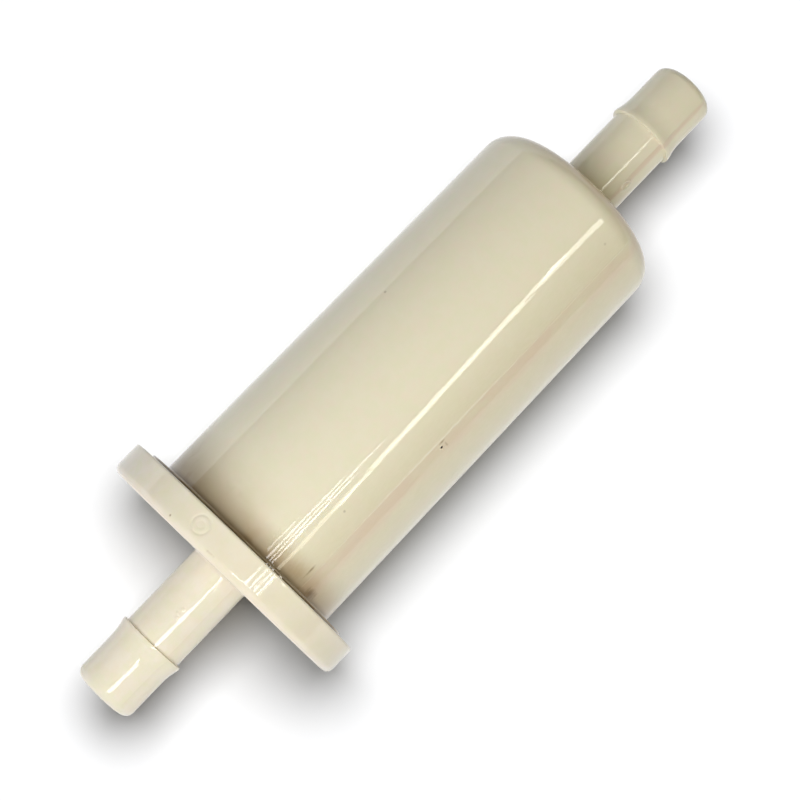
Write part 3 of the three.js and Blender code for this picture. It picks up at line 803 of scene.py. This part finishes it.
inlet_disc = turned(
    "inlet_disc", [(disc_low.x, 0.0), *disc_outline, (disc_floor_x + PILOT_HEIGHT, 0.0)], turns()[::2])
ears = [radial_block("ear", disc_face_x + EAR_INSET, disc_high.x - EAR_INSET, CUP_RADIUS - CUP_WALL / 2,
                     EAR_RADIUS, EAR_WIDTH, (i + 0.5) / EARS * 2 * pi) for i in range(EARS)]
combined(inlet_disc, ears, "UNION")


def natural_nylon(name):
    """Satin nylon without dye: faint flow marks, fine grain and a little amber from the fuel."""
    made, tree, shader = new_material(name)
    flow = noise(tree, use_group(tree, round_axis)["Streak"], 7.0, 5.0, 0.6, 0.8)
    grain = noise(tree, own_space(tree), 3200.0, 3.0)
    colour = use_group(tree, mottle, {"Base": (0.70, 0.66, 0.55, 1), "Warm": (0.66, 0.54, 0.36, 1),
                                      "Cool": (0.70, 0.68, 0.60, 1), "Scale": 190.0, "Amount": 0.7})["Colour"]
    colour = tint(tree, product(tree, flow, 0.35), colour, (0.58, 0.50, 0.36, 1))
    height = total(tree, product(tree, grain, 6e-6), product(tree, flow, 12e-6))
    feed(tree, shader, {"Base Color": colour, "Roughness": fade(tree, grain, 0.3, 0.7, 0.38, 0.52),
                        "Normal": bumped(tree, height), "IOR": 1.53, "Subsurface Weight": 0.2,
                        "Subsurface Radius": (1.0, 0.8, 0.5), "Subsurface Scale": 0.8 * MM})
    return made


inlet_disc.data.materials.append(natural_nylon("disc_nylon"))
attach(inlet_disc, "element")
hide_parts("inlet_end_disc")


# --- Outlet end disc -----------------------------------------------------------------------
# The open end of the element is a moulded disc like the other. Its spigot goes into the socket in
# the bowl's end wall, and the cleaned fuel leaves through it.

end_low, end_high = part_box("outlet_end_disc")
SPIGOT_LENGTH = 2.9 * MM
SPIGOT_BORE = 3.3 * MM
OUTLET_DISC_THICKNESS = 1.2 * MM
end_face_x = end_high.x - SPIGOT_LENGTH
end_floor_x = end_face_x - OUTLET_DISC_THICKNESS
outlet_disc = turned("outlet_disc", rounded([
    (end_floor_x - PILOT_HEIGHT, SPIGOT_BORE), (end_floor_x - PILOT_HEIGHT, PILOT_RADIUS),
    (end_floor_x, PILOT_RADIUS), (end_floor_x, CUP_RADIUS - CUP_WALL), (end_low.x, CUP_RADIUS - CUP_WALL),
    (end_low.x, CUP_RADIUS), (end_face_x, CUP_RADIUS), (end_face_x, DISC_BOSS_RADIUS),
    (end_high.x, DISC_BOSS_RADIUS), (end_high.x, SPIGOT_BORE)], MOULDED_EDGE), turns()[::2])
outlet_disc.data.materials.append(natural_nylon("outlet_disc_nylon"))
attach(outlet_disc, "element")
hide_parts("outlet_end_disc")


# --- Seat gasket ---------------------------------------------------------------------------
# A flat nitrile ring, punched and slightly crowned, that sits round the outlet disc's spigot. The
# spring presses it on the bowl's seat, so that fuel can't pass round the element.

GASKET_INNER_RADIUS = 4.9 * MM
GASKET_EDGE = 0.28 * MM
gasket = turned("rubber_gasket", ring_outline(
    *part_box("seat_gasket"), GASKET_INNER_RADIUS, GASKET_EDGE, 6), turns()[::2])
gasket_rubber, tree, shader = new_material("gasket_rubber")
own_place = own_space(tree)
grain = noise(tree, own_place, 4200.0, 4.0, 0.7)
dust = product(tree, fade(tree, noise(tree, own_place, 700.0, 4.0), 0.5, 0.75), 0.6)
feed(tree, shader, {"Base Color": tint(tree, dust, (0.022, 0.022, 0.024, 1), (0.11, 0.10, 0.085, 1)),
                    "Roughness": fade(tree, grain, 0.3, 0.7, 0.5, 0.8),
                    "Normal": bumped(tree, product(tree, grain, 14e-6)), "IOR": 1.5})
gasket.data.materials.append(gasket_rubber)
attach(gasket, "element")
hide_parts("seat_gasket")


# --- Core tube -----------------------------------------------------------------------------
# A moulded nylon tube full of windows stands inside the pleats and keeps them from folding in
# when the filter gets dirty. It is held on the pilots of the two end discs.

core_low, core_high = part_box("core_tube")
CORE_INNER_RADIUS = 4.1 * MM
CORE_EDGE = 0.12 * MM
CORE_ROWS = 8
CORE_COLUMNS = 4
WINDOW_LENGTH = 4.4 * MM
WINDOW_WIDTH = 3.0 * MM
WINDOW_CORNER = 0.5 * MM
CUT_PAST = 1.0 * MM
core = turned("core_tube_nylon", ring_outline(core_low, core_high, CORE_INNER_RADIUS, CORE_EDGE),
              turns()[::3])
row_pitch = (core_high.x - core_low.x) / CORE_ROWS
windows = []
for row in range(CORE_ROWS):
    middle_x = core_low.x + (row + 0.5) * row_pitch
    for column in range(CORE_COLUMNS):
        angle = (column + row % 2 / 2) / CORE_COLUMNS * 2 * pi
        windows.append(radial_block(
            "window", middle_x - WINDOW_LENGTH / 2, middle_x + WINDOW_LENGTH / 2,
            CORE_INNER_RADIUS - CUT_PAST, core_high.z + CUT_PAST, WINDOW_WIDTH, angle, WINDOW_CORNER))
combined(core, windows, "DIFFERENCE")
core.data.materials.append(natural_nylon("core_nylon"))
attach(core, "element")
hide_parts("core_tube")


# --- Potting -------------------------------------------------------------------------------
# The ends of the pleats stand in a ring of reddish two-part adhesive, poured into each end disc's
# cup. It cures with a soft shine and a rim that creeps up the walls.

POTTING_INNER_RADIUS = 5.2 * MM
POTTING_CREEP = 0.16 * MM
potting_adhesive, tree, shader = new_material("potting_adhesive")
poured = use_group(tree, mottle, {"Base": (0.30, 0.085, 0.040, 1), "Warm": (0.40, 0.13, 0.05, 1),
                                  "Cool": (0.17, 0.045, 0.025, 1), "Scale": 330.0, "Amount": 0.8})["Colour"]
waves = noise(tree, own_space(tree), 620.0, 3.0)
feed(tree, shader, {"Base Color": poured, "Roughness": fade(tree, waves, 0.3, 0.7, 0.22, 0.42),
                    "Normal": bumped(tree, product(tree, waves, 60e-6)), "IOR": 1.55,
                    "Subsurface Weight": 0.15, "Subsurface Radius": (1.0, 0.4, 0.2),
                    "Subsurface Scale": 0.5 * MM})
for side, cad_name in ((1, "inlet_potting"), (-1, "outlet_potting")):
    ring_low, ring_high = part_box(cad_name)
    wet_x, cup_x = (ring_high.x, ring_low.x) if side > 0 else (ring_low.x, ring_high.x)
    wide = ring_high.z - POTTING_INNER_RADIUS
    sunk = [(wet_x - side * POTTING_CREEP * sin(pi * i / 16) ** 0.5, ring_high.z - wide * i / 16)
            for i in range(17)]
    ring = turned(cad_name.replace("potting", "adhesive"),
                  [(cup_x, POTTING_INNER_RADIUS), (cup_x, ring_high.z)] + sunk, turns()[::2])
    ring.data.materials.append(potting_adhesive)
    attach(ring, "element")
    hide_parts(cad_name)


# --- Pleated media -------------------------------------------------------------------------
# One strip of resin-treated filter paper, folded into 24 pleats and closed on itself. Fine
# corrugations across the folds keep the pleats apart, and the resin has browned the paper.

media_low, media_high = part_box("pleated_media")
PLEATS = 24
PAPER = 0.4 * MM
OUTER_FOLD = 0.45 * MM
INNER_FOLD = 0.35 * MM
PLEAT_INNER_RADIUS = 5.4 * MM
FOLD_STEPS = 8
FLANK_STEPS = 4
MEDIA_STATIONS = 62
PLEAT_WANDER = radians(0.5)
CORRUGATION_PITCH = 2.2 * MM


def pleat_loop(outer_fold, inner_fold):
    """One face of the folded paper as (radial, across, turn) points, fold by fold."""
    outer_middle = media_high.z - PAPER / 2 - OUTER_FOLD
    inner_middle = PLEAT_INNER_RADIUS + PAPER / 2 + INNER_FOLD
    made = []
    for pleat in range(PLEATS):
        for turn, middle, bend in ((pleat / PLEATS, outer_middle, outer_fold),
                                   ((pleat + 0.5) / PLEATS, inner_middle, -inner_fold)):
            for i in range(FOLD_STEPS + 1):
                a = radians(-90 + 180 * i / FOLD_STEPS)
                radial, across = middle + bend * cos(a), abs(bend) * sin(a)
                angle = turn * 2 * pi
                made.append(Vector((radial * cos(angle) - across * sin(angle),
                                    radial * sin(angle) + across * cos(angle))))
    filled = []
    for i, point in enumerate(made):
        filled.append(point)
        if (i + 1) % (FOLD_STEPS + 1) == 0:
            after = made[(i + 1) % len(made)]
            filled += [point.lerp(after, s / FLANK_STEPS) for s in range(1, FLANK_STEPS)]
    return filled


def paper_at(point, x):
    """A point of the paper's section at a place along it, with each fold wandering a little."""
    radial, angle = point.length, atan2(point.y, point.x)
    fold = round(angle / (2 * pi) * PLEATS)
    depth = (radial - PLEAT_INNER_RADIUS) / (media_high.z - PLEAT_INNER_RADIUS)
    wander = PLEAT_WANDER * sin(x / MM * 0.11 + fold * 2.4) * depth
    return (x, radial * cos(angle + wander), radial * sin(angle + wander))


faces_of_paper = [pleat_loop(OUTER_FOLD + PAPER / 2, INNER_FOLD - PAPER / 2),
                  pleat_loop(OUTER_FOLD - PAPER / 2, INNER_FOLD + PAPER / 2)]
count = len(faces_of_paper[0])
verts, faces = [], []
for i in range(MEDIA_STATIONS + 1):
    x = media_low.x + (media_high.x - media_low.x) * i / MEDIA_STATIONS
    for loop in faces_of_paper:
        verts += [paper_at(point, x) for point in loop]
for i in range(MEDIA_STATIONS):
    for side in (0, count):
        faces += strip(i * 2 * count + side, (i + 1) * 2 * count + side, count)
for here in (0, MEDIA_STATIONS * 2 * count):
    faces += strip(here, here + count, count)
media = solid("pleated_paper", verts, faces)
filter_paper, tree, shader = new_material("filter_paper")
own_place = own_space(tree)
place = use_group(tree, round_axis)
fibres = None
for lean in (0.4, -0.7, 1.3):
    laid = node(tree, "ShaderNodeMapping", {"Vector": own_place, "Rotation": (lean, lean * 0.6, lean),
                                            "Scale": (0.12, 1.0, 1.0)}).outputs[0]
    strand = noise(tree, laid, 5200.0, 2.0)
    fibres = strand if fibres is None else calc(tree, "MAXIMUM", fibres, strand)
corrugation = calc(tree, "SINE", product(tree, place["Along"], 2 * pi / CORRUGATION_PITCH))
resin = use_group(tree, mottle, {"Base": (0.52, 0.31, 0.115, 1), "Warm": (0.44, 0.22, 0.07, 1),
                                 "Cool": (0.58, 0.38, 0.16, 1), "Scale": 700.0, "Amount": 0.5})["Colour"]
paper_colour = tint(tree, fade(tree, fibres, 0.52, 0.72, 0.0, 0.35), resin, (0.68, 0.50, 0.26, 1))
soot = product(tree, fade(tree, place["Radius"], 8 * MM, 11.5 * MM),
            fade(tree, noise(tree, own_place, 210.0, 4.0), 0.5, 0.8))
paper_colour = tint(tree, product(tree, soot, 0.45), paper_colour, (0.16, 0.11, 0.06, 1))
height = total(tree, product(tree, corrugation, 90e-6), product(tree, fibres, 30e-6))
feed(tree, shader, {"Base Color": paper_colour, "Roughness": fade(tree, fibres, 0.4, 0.7, 0.95, 0.78),
                    "Normal": bumped(tree, height), "Specular IOR Level": 0.25})
media.data.materials.append(filter_paper)
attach(media, "element")
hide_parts("pleated_media")


# --- Seam clip -----------------------------------------------------------------------------
# A folded channel of tin-plated steel strip is crimped over the pleat where the paper's two ends
# meet, and holds the strip closed.

clip_low, clip_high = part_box("seam_clip")
CLIP_THICKNESS = 0.3 * MM
CLIP_BEND = 0.14 * MM
CLIP_STATIONS = 90
CRIMP_PITCH = 4.0 * MM
CRIMP_DEPTH = 0.05 * MM
back_y = clip_high.y - CLIP_THICKNESS
under_z, over_z = clip_low.z + CLIP_THICKNESS, clip_high.z - CLIP_THICKNESS
section = rounded([
    (clip_low.y, clip_low.z), (clip_high.y, clip_low.z), (clip_high.y, clip_high.z),
    (clip_low.y, clip_high.z), (clip_low.y, over_z), (back_y, over_z), (back_y, under_z),
    (clip_low.y, under_z)], CLIP_BEND)
verts, faces = [], []
count = len(section)
for i in range(CLIP_STATIONS + 1):
    x = clip_low.x + (clip_high.x - clip_low.x) * i / CLIP_STATIONS
    crimp = CRIMP_DEPTH * max(0.0, sin(2 * pi * (x - clip_low.x) / CRIMP_PITCH)) ** 6
    for y, z in section:
        leg = min(1.0, max(0.0, (back_y - y) / (0.6 * MM)))
        verts.append((x, y, z - copysign(crimp * leg, z)))
for i in range(CLIP_STATIONS):
    faces += strip(i * count, (i + 1) * count, count)
faces += [tuple(range(count)), tuple(range(CLIP_STATIONS * count, (CLIP_STATIONS + 1) * count))]
clip = solid("steel_clip", verts, faces)
clip_tinplate, tree, shader = new_material("clip_tinplate")
own_place = own_space(tree)
cells = node(tree, "ShaderNodeTexVoronoi", {"Vector": own_place, "Scale": 900.0}).outputs["Color"]
spangle = node(tree, "ShaderNodeSeparateColor", {0: cells}).outputs[0]
along_strip = node(tree, "ShaderNodeMapping", {"Vector": own_place, "Scale": (0.06, 1.0, 1.0)}).outputs[0]
rolled = noise(tree, along_strip, 6000.0, 2.0)
rust = fade(tree, noise(tree, own_place, 420.0, 5.0, 0.7), 0.60, 0.72)
tin = tint(tree, product(tree, spangle, 0.35), (0.58, 0.59, 0.58, 1), (0.45, 0.46, 0.46, 1))
rough = total(tree, fade(tree, rolled, 0.3, 0.7, 0.34, 0.5), product(tree, rust, 0.3))
feed(tree, shader, {"Base Color": tint(tree, product(tree, rust, 0.6), tin, (0.22, 0.10, 0.045, 1)),
                    "Metallic": fade(tree, rust, 0.0, 1.0, 1.0, 0.35), "Roughness": rough,
                    "Normal": bumped(tree, product(tree, rolled, 3e-6))})
clip.data.materials.append(clip_tinplate)
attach(clip, "element")
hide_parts("seam_clip")


# --- Camera, floor and light ---------------------------------------------------------------
# The filter lies on a plain white table, seen from almost straight above. A round lamp beside the
# camera lights the table, two soft lamps the filter, and thin tubes put the long shine on it.

AXIS_TURN = radians(46.10)
AXIS_TILT = radians(7.38)
CAMERA_PLACE = Vector((-36.37, -1.44, 265.43)) * MM
LENS_MM = 83.58
along_axis = Vector((cos(AXIS_TILT) * cos(AXIS_TURN), cos(AXIS_TILT) * sin(AXIS_TURN),
                     -sin(AXIS_TILT)))
across_axis = Vector((-sin(AXIS_TURN), cos(AXIS_TURN), 0))
camera_data = bpy.data.cameras.new("camera")
camera_data.sensor_width = 36
camera_data.lens = LENS_MM
camera_data.clip_start = 0.01
camera = placed("camera", camera_data)
camera.matrix_world = Matrix.Translation(CAMERA_PLACE) @ Matrix(
    (along_axis, across_axis, along_axis.cross(across_axis))).to_4x4()
bpy.context.scene.camera = camera
bpy.context.scene.view_settings.view_transform = "Standard"

FLOOR_HALF = 3.0
floor_mesh = bpy.data.meshes.new("floor")
floor_corners = [(x * FLOOR_HALF, y * FLOOR_HALF, cad_low[2])
                 for x, y in ((-1, -1), (1, -1), (1, 1), (-1, 1))]
floor_mesh.from_pydata(floor_corners, [], [(0, 1, 2, 3)])
floor = placed("floor", floor_mesh)
TABLE_LIGHT_PLACE = Vector((-2.1, 40.0, 265.0)) * MM
TABLE_LIGHT_HEIGHT = TABLE_LIGHT_PLACE.z - cad_low[2]
TABLE_LIGHT_WIDTH = 0.128
TABLE_WHITE = 0.62
TABLE_WATTS = 1.315
TABLE_MOST_WHITE = 0.92
floor_paint, tree, shader = new_material("white_table")
under_light = (TABLE_LIGHT_PLACE.x, TABLE_LIGHT_PLACE.y, cad_low[2])
off_centre = node(tree, "ShaderNodeVectorMath", {0: own_space(tree), 1: under_light},
                  operation="DISTANCE").outputs["Value"]
reach = calc(tree, "DIVIDE", off_centre, TABLE_LIGHT_HEIGHT)
fall_off = calc(tree, "POWER", calc(tree, "MULTIPLY_ADD", reach, reach, 1.0), 2.0)
evened = calc(tree, "MINIMUM", product(tree, fall_off, TABLE_WHITE), TABLE_MOST_WHITE)
far_white = fade(tree, off_centre, 0.10, 0.22)
grey = node(tree, "ShaderNodeCombineColor", {0: evened, 1: evened, 2: evened}).outputs[0]
feed(tree, shader, {"Base Color": grey, "Roughness": 0.9, "Specular IOR Level": 0.0})
glow = node(tree, "ShaderNodeEmission", {"Color": (1, 1, 1, 1), "Strength": 1.03})
blend_in = node(tree, "ShaderNodeMixShader", {0: far_white, 1: shader.outputs[0], 2: glow.outputs[0]})
tree.links.new(blend_in.outputs[0], tree.nodes["Material Output"].inputs["Surface"])
floor_mesh.materials.append(floor_paint)
floor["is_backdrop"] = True

floor_only = bpy.data.collections.new("floor_only")
floor_only.objects.link(floor)
filter_only = bpy.data.collections.new("filter_only")
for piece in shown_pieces():
    filter_only.objects.link(piece)


def area_light(name, place, towards, length, width, watts, colour=(1, 1, 1), aim=(0, 0, 0), lit=None):
    """A soft lamp at a place; its long side points towards a second place."""
    data = bpy.data.lights.new(name, "AREA")
    data.shape = "RECTANGLE"
    data.size, data.size_y = length, width
    data.energy = watts
    data.color = colour
    light = placed(name, data)
    back = (Vector(place) - Vector(aim)).normalized()
    along = Vector(towards) - Vector(place)
    side = (along - back * along.dot(back)).normalized()
    light.matrix_world = Matrix.Translation(place) @ Matrix(
        (side, back.cross(side), back)).transposed().to_4x4()
    light.visible_camera = False
    light.light_linking.receiver_collection = lit or filter_only
    return light


table_light = area_light("table_light", TABLE_LIGHT_PLACE, TABLE_LIGHT_PLACE + Vector((1, 0, 0)),
                         TABLE_LIGHT_WIDTH, TABLE_LIGHT_WIDTH, TABLE_WATTS, (0.98, 0.985, 1.0),
                         TABLE_LIGHT_PLACE - Vector((0, 0, 1)), floor_only)
table_light.data.shape = "DISK"
overhead = area_light("overhead", (-0.12, -0.016, 0.25), (0, -0.016, 0.25), 0.2, 0.2, 0.83)
warm_side = area_light("warm_side", (0.12, -0.12, 0.22), (0.2, -0.12, 0.22), 0.15, 0.15, 0.10,
                       (1.0, 0.86, 0.42))
overhead.visible_glossy = warm_side.visible_glossy = False

TUBE_HEIGHT = 0.3
TUBE_GLOW = 22.0
TUBE_WHITE = (1.0, 1.0, 0.97)
TUBE_CREAM = (1.0, 0.985, 0.86)
TUBE_YELLOW = (1.0, 0.95, 0.76)


def tube(name, start, end, width, glow, colour):
    """A thin lamp between two (x, y) places overhead, which shows only as a shine."""
    start, end = Vector((*start, TUBE_HEIGHT)), Vector((*end, TUBE_HEIGHT))
    length = (end - start).length
    watts = TUBE_GLOW * glow * length * width
    lamp = area_light(name, (start + end) / 2, end, length, width, watts, colour, (-0.01, 0, 0))
    lamp.visible_diffuse = False


for i, (off, glow) in enumerate(((-0.015, 1.0), (0.015, 0.95))):
    tube(f"tube_middle_{i}", (0.018 + off / 2, -0.247 + off), (0.105 + off / 2, -0.186 + off), 0.017, glow,
         TUBE_CREAM)
tube("tube_end", (0.105, -0.183), (0.168, -0.207), 0.034, 0.9, TUBE_CREAM)
tube("tube_tail", (0.018, -0.250), (-0.022, -0.266), 0.028, 0.6, TUBE_YELLOW)
for i, (from_x, to_x, y, glow) in enumerate(((-0.044, 0.014, -0.182, 1.5), (-0.044, 0.026, -0.157, 1.3),
                                             (-0.044, 0.010, -0.132, 1.2), (-0.026, -0.010, -0.102, 0.7))):
    tube(f"tube_slat_{i}", (from_x, y), (to_x, y - 0.002), 0.009, glow, TUBE_WHITE)
tube("tube_near", (-0.043, -0.116), (-0.110, -0.031), 0.036, 1.3, TUBE_WHITE)

world = bpy.data.worlds.new("white_room")
world.use_nodes = True
bpy.context.scene.world = world
tree = world.node_tree
seen = node(tree, "ShaderNodeLightPath").outputs["Is Camera Ray"]
sky = tree.nodes["Background"]
sky.inputs["Color"].default_value = (1, 1, 1, 1)
tree.links.new(fade(tree, seen, 0.0, 1.0, 0.08, 1.05), sky.inputs["Strength"])
